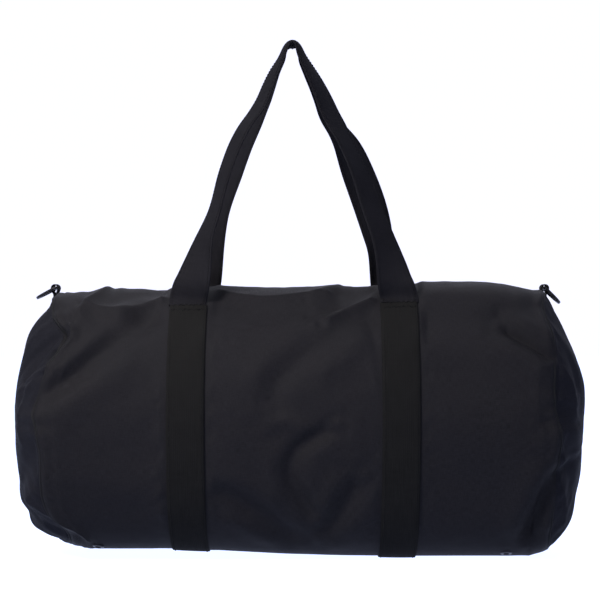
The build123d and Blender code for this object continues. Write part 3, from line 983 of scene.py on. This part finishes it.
# Each leg: height, x and how far the webbing is turned from facing the front, in degrees.
LEGS = {
    ("front", "left"): [
        (283, -110.5, 14), (300, -106.5, 33), (327, -100.2, 57), (358, -89.0, 69), (404, -76.6, 69),
        (434, -65.0, 67), (449, -57.0, 67), (464, -46.0, 66), (479, -38.4, 69), (494, -32.8, 71),
        (510, -26.4, 75), (525, -18.8, 81), (532, -16.2, 84), (536.6, -13.2, 87),
    ],
    ("front", "right"): [
        (283, 97.6, 12), (300, 94.5, 30), (327, 87.2, 47), (358, 76.0, 53), (404, 60.0, 60),
        (434, 46.0, 62), (449, 38.2, 57), (464, 30.6, 58), (479, 24.6, 61), (494, 18.0, 65),
        (510, 10.0, 70), (525, 2.8, 77), (532, 0.4, 82), (536.6, -2.4, 86),
    ],
    ("back", "left"): [
        (284, -105.5, -2), (300, -101.5, -24), (327, -94.6, -48), (358, -86.4, -62), (404, -69.2, -67),
        (434, -57.8, -68), (449, -51.6, -67), (464, -45.4, -66), (479, -38.6, -69), (494, -33.0, -71),
        (510, -26.6, -75), (525, -19.0, -81), (532, -16.4, -84), (536.6, -13.4, -87),
    ],
    ("back", "right"): [
        (284, 96.0, -2), (300, 93.5, -20), (327, 87.5, -38), (345, 83.0, -30), (362, 78.0, -24),
        (404, 62.5, -27), (434, 49.5, -43), (449, 40.2, -54), (464, 31.0, -58), (479, 25.0, -61),
        (494, 18.2, -65), (510, 10.2, -70), (525, 3.0, -77), (532, 0.5, -82), (536.6, -2.3, -86),
    ],
}
GRIP = (-7.8, 20.0, 538.6)  # the crown of the front handle's line, with y from the bag's middle
HANDLE_TOP_Z = 541.0
BASE = (89.66, 266.6)  # where a handle turns at its strap, as y from the middle and z
LEAN = (BASE[0] - GRIP[1]) / (HANDLE_TOP_Z - BASE[1])  # how fast a handle leans in towards the other
SPLIT_Z = 312.0  # between the pieces of a handle
HANDLE_STEP = 3.0
CROWN_SPAN = 34.0  # how far from the middle of the grip the webbing still cups
BOW = 0.9  # how far the webbing's edges curl where a leg is turned
CROWN_BOW = 2.8  # the same at the grip


def handle_line(face_name):
    """Centres, width directions and turns along a handle, from its left row up and down to its right row."""
    face = FACES[face_name]
    points, turns = [], []
    for side_name, side in SIDES.items():
        x_row = STRAPS[side_name][0 if face < 0 else 1]
        length = ROW_LENGTH[face]
        low = on_barrel(x_row, length, WEBBING_LIFT)
        row = on_barrel(x_row, length + face * 7.0, WEBBING_LIFT + 0.2)
        leg = [tuple(low), tuple(row)]
        turn = [0.0, 0.0]
        for z, x, angle in LEGS[face_name, side_name]:
            leg.append((x, face * (BASE[0] - LEAN * (z - BASE[1])), z))
            turn.append(angle)
        if side < 0:
            points += leg + [(GRIP[0], face * GRIP[1], GRIP[2])]
            turns += turn + [-face * 90]
        else:
            points += leg[::-1]
            turns += [-face * 180 - t for t in turn[::-1]]
    points = np.array(points)
    spans = run_lengths(points)
    at = np.linspace(0, spans[-1], round(spans[-1] / HANDLE_STEP) + 1)
    fine = np.stack([curve(list(zip(spans, points[:, k])), at) for k in range(3)], axis=1)
    angle = np.radians(curve(list(zip(spans, turns)), at))
    for _ in range(3):
        fine[1:-1] = (fine[:-2] + 2 * fine[1:-1] + fine[2:]) / 4
    width = np.stack([np.cos(angle), face * np.sin(angle), np.zeros_like(angle)], axis=1)
    return fine, width, angle


def blend_handle(obj):
    """Bakes the handle piece's placement into its mesh."""
    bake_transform(obj)


def build_handles():
    """Each handle in two legs and a loop, with stitches along both edges of both faces."""
    for face_name in FACES:
        centres, width, angle = handle_line(face_name)
        count = len(centres)
        crown = np.exp(-(((np.arange(count) - (count - 1) / 2) * HANDLE_STEP / CROWN_SPAN) ** 2))
        bow = BOW * np.sin(angle) ** 2 * (1 - crown) + CROWN_BOW * crown
        above = np.nonzero(centres[:, 2] > SPLIT_Z)[0]
        first, last = above[0], above[-1]
        spans = {"left": slice(0, first + 1), "loop": slice(first, last + 1), "right": slice(last, None)}
        along = unit(np.gradient(centres, axis=0))
        across = unit(width - along * np.sum(width * along, axis=1, keepdims=True))
        up = np.cross(along, across)
        verts, _, uv = ribbon(centres, width, WEBBING_W / 2, WEBBING_T, curl=bow)
        verts = verts.reshape(count, -1, 3)
        uv = uv.reshape(count, -1, 2)
        for part, span in spans.items():
            piece = verts[span]
            faces = tube_faces(len(piece), piece.shape[1])
            name = f"handle_webbing_{face_name}_{part}"
            piece_uv = uv[span].reshape(-1, 2)
            # The handles wear the lighter, bluer copy of the webbing: painted light and painted reflection.
            obj = make_object(name, piece.reshape(-1, 3), faces, None, HANDLE_PAINTED_LIGHT, piece_uv)
            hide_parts(f"handle_loop_{face_name}" if part == "loop" else f"handle_legs_{face_name}")
            blend_handle(obj)
        for part, span in spans.items():
            rows = []
            for offset in (-STITCH_X, STITCH_X):
                bow_here = (bow * ((offset / (WEBBING_W / 2)) ** 2 - 0.35))[:, None]
                for sign in (1, -1):
                    path = centres + across * offset + up * (bow_here + sign * (WEBBING_T / 2 + 0.05))
                    rows.append(stitch_row(path[span], (up * sign)[span]))
            thread, faces = join(rows)
            name = f"handle_stitches_{face_name}_{part}"
            obj = make_object(name, thread, faces, None, THREAD)
            blend_handle(obj)


def build_row_stitches():
    """The zigzag rows across the webbing where straps become handles."""
    for face_name, face in FACES.items():
        for side_name in SIDES:
            x_row = STRAPS[side_name][0 if face < 0 else 1]
            parts = []
            for offset, high in ((-1.6, 3.2), (6.0, 3.0)):
                xs = x_row + np.linspace(2 - WEBBING_W / 2, WEBBING_W / 2 - 2, 14)
                down = offset + np.where(np.arange(len(xs)) % 2, high, 0)
                points, ups = off_barrel(xs, ROW_LENGTH[face] - face * down, WEBBING_T + 0.25)
                parts.append(stitches(points[:-1], points[1:], ups[:-1], radius=0.34))
            verts, faces = join(parts)
            make_object(f"row_stitches_{face_name}_{side_name}", verts, faces, "bag", THREAD)


# ---- Zipper ------------------------------------------------------------------------------------
TAPE_TOP = TROUGH_Z - 1.5
TAPE_END_X = 243.0
STOP_X = 242.0
COIL_PITCH = 2.0
COIL_POINTS = 10  # in each turn


def tape_strip(face, x0, x1):
    """One side's tape, from near the coil to under the fabric."""
    xs = np.linspace(x0, x1, max(2, round(abs(x1 - x0) / 6) + 1))
    centres = np.stack([xs, np.full_like(xs, face * 8.4), TAPE_TOP - 0.4 - trough_drop(xs)], axis=1)
    across = np.tile([0.0, 1.0, 0.0], (len(xs), 1))
    return ribbon(centres, across, 7.2, 0.7)


def coil_strip(face, x0, x1):
    """One side's nylon coil: a flattened helix laid on the tape."""
    turns = abs(x1 - x0) / COIL_PITCH
    count = int(turns * COIL_POINTS)
    t = np.linspace(0, turns * 2 * math.pi, count)
    x = np.linspace(x0, x1, count)
    y = face * (2.25 + 1.15 * np.cos(t))
    z = TAPE_TOP + 1.15 - trough_drop(x) + 0.9 * np.sin(t)
    line = np.stack([x, y, z], axis=1)
    along = unit(np.gradient(line, axis=0))
    side = unit(np.cross(along, np.array([1.0, 0, 0]) + 0 * along))
    up = np.cross(along, side)
    ring = [(0.38 * math.cos(a), 0.38 * math.sin(a)) for a in np.linspace(0, 2 * math.pi, 6)[:-1]]
    verts = np.concatenate([(line + side * a + up * b)[:, None] for a, b in ring], axis=1).reshape(-1, 3)
    return verts, tube_faces(count, len(ring))


def build_zipper():
    """Tapes, coils and the stitches beside them, each in two halves."""
    for face_name, face in FACES.items():
        for side_name, side in SIDES.items():
            verts, faces, uv = tape_strip(face, 0, side * TAPE_END_X)
            tape = make_object(f"tape_{face_name}_{side_name}", verts, faces, None, TAPE, uv)
            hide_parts(f"zipper_tape_{face_name}", f"zipper_end_{side_name}")
            blend_lip(tape)
            verts, faces = coil_strip(face, 0, side * (TAPE_END_X - 2))
            coil = make_object(f"coil_{face_name}_{side_name}", verts, faces, None, COIL)
            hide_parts(f"zipper_coil_{face_name}")
            blend_lip(coil)
            xs = np.linspace(0, side * (LIP_END_X - 1), 90)
            path, ups = off_barrel(xs, 3.4 if face < 0 else ROW_LENGTHS[-1] - 3.4, 0.12)
            verts, faces = stitch_row(path, ups, pitch=3.2)
            name = f"zipper_stitches_{face_name}_{side_name}"
            row = make_object(name, verts, faces, None, THREAD)
            blend_lip(row)


def turned(middle, normal, profile, count=28):
    """A closed profile of (radius, height) turned about a normal."""
    first = unit(np.cross(normal, [1.0, 0.2, 0.1]))
    second = np.cross(normal, first)
    size = len(profile)
    verts, faces = [], []
    for turn in np.linspace(0, 2 * math.pi, count + 1)[:-1]:
        away = first * math.cos(turn) + second * math.sin(turn)
        verts += [middle + away * radius + normal * height for radius, height in profile]
    for i in range(count):
        j = (i + 1) % count
        for k in range(size):
            n = (k + 1) % size
            faces.append((i * size + k, j * size + k, j * size + n, i * size + n))
    return np.array(verts), faces


EYELET_X, EYELET_Y = 213.0, -70.0


def build_eyelets():
    profile = [
        (2.9, -2.2), (2.9, 0.5), (3.3, 0.95), (4.2, 1.1), (5.2, 0.8), (5.8, 0.25), (5.9, -0.1),
        (3.7, -0.1), (3.5, -2.2),
    ]
    low = FRONT_ROWS[:, 1] < AXIS_Z
    length = float(np.interp(EYELET_Y, FRONT_ROWS[low, 0], FRONT_LENGTHS[low]))
    for name, side in SIDES.items():
        verts, faces = turned(*off_barrel(side * EYELET_X, length), profile)
        eyelet = make_object(f"eyelet_ring_{name}", verts, faces, "bag", METAL)
        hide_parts(f"eyelet_{name}")


def build_stops():
    """The crimped stops: two bent bars, pressed over the coils' ends."""
    for name, side in SIDES.items():
        parts = []
        for shift in (-1.15, 1.15):
            x = side * STOP_X + shift
            floor = TAPE_TOP - float(trough_drop(np.array(x)))
            turns = np.linspace(0.05, math.pi - 0.05, 17)
            centres = np.array([(x, 4.1 * math.cos(a), floor - 0.5 + 3.1 * math.sin(a)) for a in turns])
            across = np.tile([1.0, 0.0, 0.0], (len(centres), 1))
            verts, faces, _ = ribbon(centres, across, 0.95, 0.8, edge=0.25)
            parts.append((verts, faces))
        verts, faces = join(parts)
        stop = make_object(f"zipper_crimp_{name}", verts, faces, "bag", METAL)
        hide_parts(f"zipper_stop_{name}")


# ---- Rings' tabs -------------------------------------------------------------------------------
RING_BAR_X, RING_BAR_Z = 258.0, 279.5
TAB_RADIUS = 3.6  # of the webbing's middle, round the bar


def build_tabs():
    """The webbing loop round each ring's bar, pinched under it, down to the fabric."""
    for name, side in SIDES.items():
        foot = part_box(f"d_ring_tab_{name}")[0][2] / MM - 2.0
        line = [(-0.9, foot - RING_BAR_Z), (-0.9, -6.6), (-2.2, -4.4)]
        for turn in np.radians(np.linspace(205, -25, 22)):
            line.append((TAB_RADIUS * math.cos(turn), TAB_RADIUS * math.sin(turn)))
        line += [(2.2, -4.4), (0.9, -6.6), (0.9, foot - RING_BAR_Z)]
        line = resample(line, 44)
        x, z = side * RING_BAR_X + line[:, 0], RING_BAR_Z + line[:, 1]
        centres = np.stack([x, np.zeros(len(line)), z], axis=1)
        across = np.tile([0.0, 1.0, 0.0], (len(line), 1))
        verts, faces, uv = ribbon(centres, across, 12.4, 1.35)
        tab = make_object(f"ring_tab_{name}", verts, faces, "bag", WEBBING, uv)
        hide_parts(f"d_ring_tab_{name}")


# ---- Hard pieces that the frame brings ---------------------------------------------------------
def dress_nodes():
    finishes = {"d_ring_left": RING, "d_ring_right": RING, "zipper_slider": METAL, "zipper_pull": METAL}
    for name, material in finishes.items():
        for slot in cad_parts[name].material_slots:
            slot.material = material


# ---- Stage -------------------------------------------------------------------------------------
def build_stage():
    """A pale floor, just under the bag."""
    half = 9000
    verts = [(x, y, -0.3) for x, y in ((-half, -half), (half, -half), (half, half), (-half, half))]
    material, tree, shader = node_material("white_sweep")
    grain = stretched_noise(tree, tree.nodes.new("ShaderNodeTexCoord").outputs["Object"], (3, 3, 3), 2)
    tone = ramp(tree, grain, [(0.2, (0.1, 0.1, 0.1)), (0.8, (0.12, 0.12, 0.12))])
    tree.links.new(tone, shader.inputs["Base Color"])
    shader.inputs["Roughness"].default_value = 0.9
    shader.inputs["Specular IOR Level"].default_value = 0.1
    shader.inputs["Emission Color"].default_value = (0.68, 0.77, 1.1, 1)
    shader.inputs["Emission Strength"].default_value = 1.4
    floor = make_object("floor", verts, [(0, 1, 2, 3)], None, material)


def add_light(name, place_m, target_m, size_m, power, colour=(1, 1, 1), spread=180):
    data = bpy.data.lights.new(name, "AREA")
    data.shape = "RECTANGLE"
    data.size, data.size_y = size_m
    data.energy = power
    data.color = colour
    data.spread = math.radians(spread)
    light = bpy.data.objects.new(name, data)
    light.location = place_m
    light.rotation_euler = (Vector(target_m) - Vector(place_m)).to_track_quat("-Z", "Y").to_euler()
    bpy.context.scene.collection.objects.link(light)


def build_lights():
    """A surround that is white behind the bag and dimmer round it, and a soft key from the upper left."""
    world = bpy.data.worlds.new("studio")
    world.use_nodes = True
    tree = world.node_tree
    background = tree.nodes["Background"]
    split = tree.nodes.new("ShaderNodeSeparateXYZ")
    tree.links.new(tree.nodes.new("ShaderNodeTexCoord").outputs["Generated"], split.inputs[0])
    surround = ramp(tree, split.outputs[1], [(0.6, (0.57, 0.59, 0.77)), (0.93, (1, 1.02, 1.25))])
    tree.links.new(surround, background.inputs[0])
    bpy.context.scene.world = world
    add_light("key", (-1.0, -1.3, 1.3), (-0.15, 0, 0.22), (0.5, 0.4), 5.7, (1.0, 0.96, 0.9), 48)
    add_light("fill", (1.2, -1.5, 1.5), (0, 0, 0.42), (0.8, 0.8), 5, (0.9, 0.94, 1.0))
    add_light("rim", (0.0, 1.2, 1.35), (0, 0, 0.27), (1.8, 0.5), 6, (0.94, 0.95, 1.0))
    add_light("top", (0.0, 0.1, 2.2), (0, 0, 0.2), (1.4, 0.9), 26, (0.96, 0.97, 1.0))


def build_camera():
    data = bpy.data.cameras.new("camera")
    data.sensor_width = 36.0
    data.lens = 147.6
    data.clip_end = 60
    camera = bpy.data.objects.new("camera", data)
    camera.location = (0, -2.6, 0.267)
    camera.rotation_euler = (math.radians(90), 0, 0)
    bpy.context.scene.collection.objects.link(camera)
    bpy.context.scene.camera = camera
    bpy.context.scene.view_settings.view_transform = "Standard"


build_camera()
build_lights()
build_stage()
build_body()
build_lips()
build_bindings()
build_ends()
build_straps()
build_handles()
build_row_stitches()
build_zipper()
build_stops()
build_eyelets()
build_tabs()
dress_nodes()
